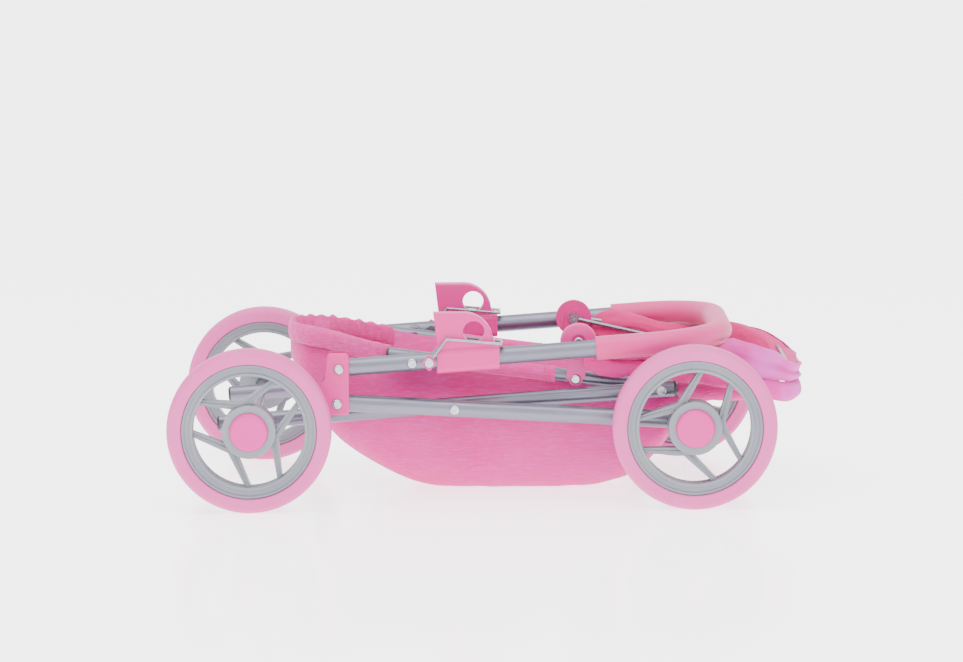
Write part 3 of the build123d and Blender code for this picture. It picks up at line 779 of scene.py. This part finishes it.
# Each line's right and left halves
RIM_LINES = (RIM_HEIGHT_RIGHT, RIM_HEIGHT_LEFT)
SEAM_LINES = (SEAM_HEIGHT, SEAM_HEIGHT)
HEM_LINES = (HEM_HEIGHT, HEM_HEIGHT)


def hood_plan(s):
    """Point, outward direction and distance on a U round the hood, from the right to the left pivot."""
    straight = HOOD_FRONT_X - HOOD_BEND - HOOD_START_X
    quarter = math.pi * HOOD_BEND / 2
    run = 2 * (HOOD_HALF - HOOD_BEND)
    corner_x = HOOD_FRONT_X - HOOD_BEND
    d = s * (2 * straight + 2 * quarter + run)
    if d < straight:
        return Vector((HOOD_START_X + d, -HOOD_HALF)), Vector((0.0, -1.0)), d
    if d < straight + quarter:
        a = (d - straight) / HOOD_BEND
        out = Vector((math.sin(a), -math.cos(a)))
        return Vector((corner_x, HOOD_BEND - HOOD_HALF)) + out * HOOD_BEND, out, d
    if d < straight + quarter + run:
        across = d - straight - quarter
        return Vector((HOOD_FRONT_X, HOOD_BEND - HOOD_HALF + across)), Vector((1.0, 0.0)), d
    if d < straight + 2 * quarter + run:
        a = (d - straight - quarter - run) / HOOD_BEND
        out = Vector((math.cos(a), math.sin(a)))
        return Vector((corner_x, HOOD_HALF - HOOD_BEND)) + out * HOOD_BEND, out, d
    back = d - straight - 2 * quarter - run
    return Vector((corner_x - back, HOOD_HALF)), Vector((0.0, 1.0)), d


def rounded_profile(points, t):
    """Catmull-Rom curve through the profile points."""
    span = t * (len(points) - 1)
    index = min(int(span), len(points) - 2)
    f = span - index
    around = [Vector(points[min(max(index + k, 0), len(points) - 1)]) for k in (-1, 0, 1, 2)]
    a, b, c, d = around
    square = (2 * a - 5 * b + 4 * c - d) * f * f
    cube = (3 * b - a - 3 * c + d) * f ** 3
    return 0.5 * (2 * b + (c - a) * f + square + cube)


def line_height(lines, place):
    """Height of a line round the hood, from its right and left halves."""
    right, left = (soft_curve(line, place.x, 0.004) for line in lines)
    return mix(right, left, smooth(-0.03, 0.03, place.y))


def hood_cloth(name, profile, low_line, high_line, rows, seed, material, slack=1.0, tuck=0.0):
    """Folded cloth round the hood. The profile is (outward in mm, share of the height) from low to high.
    tuck is how much further in, in mm, the cloth goes across the front, all but its first rows."""
    def at(s, t):
        place, out, d = hood_plan(s)
        outward, share = rounded_profile(profile, t)
        low = line_height(low_line, place)
        high = line_height(high_line, place)
        gather = smooth(HOOD_START_X, HOOD_START_X + 0.03, place.x)
        drift = wobble((d * 16.0, t * 1.3, seed), 1.0)
        depth = 0.75 + 0.5 * wobble((d * 11.0, 0.0, seed + 4.0), 1.0)
        outward = outward * depth - tuck * max(out.x, 0.0) * smooth(0.0, 0.25, t)
        creases = 2.2 * wobble((d * 38.0, t * 3.0, seed + 1.0), 1.0)
        creases += 0.7 * wobble((d * 95.0, t * 8.0, seed), 1.0)
        outward += slack * creases
        lift = slack * (0.0022 * drift + 0.0011 * wobble((d * 60.0, t * 2.0, seed + 7.0), 1.0))
        z = low + (high - low) * share + lift * gather
        flat = place + out * (outward * gather / 1000.0)
        return Vector((flat.x, flat.y, z))
    obj = grid_mesh(name, 300, rows, at)
    thicken(obj, HOOD_CLOTH_THICK)
    dress_piece(obj, material)
    return obj


def build_hood():
    """Two outer cloths that span from the body to the bows, and the lining that rides on the front bow."""
    rear_profile = [
        (-13.0, 0.35), (-8.0, 0.10), (-2.5, 0.0), (1.0, 0.20), (1.8, 0.50), (-0.5, 0.80), (-6.0, 1.0),
    ]
    rear = hood_cloth("hood_rear_cloth", rear_profile, HEM_LINES, SEAM_LINES, 36, 3.0, mat_print)
    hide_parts("hood_rear_fabric")
    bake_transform(rear)
    front_profile = [
        (-6.0, 0.0), (-1.0, 0.10), (1.6, 0.30), (-2.8, 0.48), (0.4, 0.64), (1.6, 0.86), (0.2, 0.99),
        (-2.2, 1.02),
    ]
    front = hood_cloth("hood_front_cloth", front_profile, SEAM_LINES, RIM_LINES, 40, 8.0, mat_print)
    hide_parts("hood_front_fabric")
    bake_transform(front)
    lining_profile = [
        (-2.2, 1.03), (-5.2, 0.98), (-8.5, 0.72), (-10.5, 0.40), (-10.0, 0.15), (-13.0, -0.1),
    ]
    lining = hood_cloth(
        "hood_lining_cloth", lining_profile, SEAM_LINES, RIM_LINES, 24, 5.0, mat_lining, slack=0.8, tuck=13.0
    )
    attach(lining, "hood_front")


build_hood()
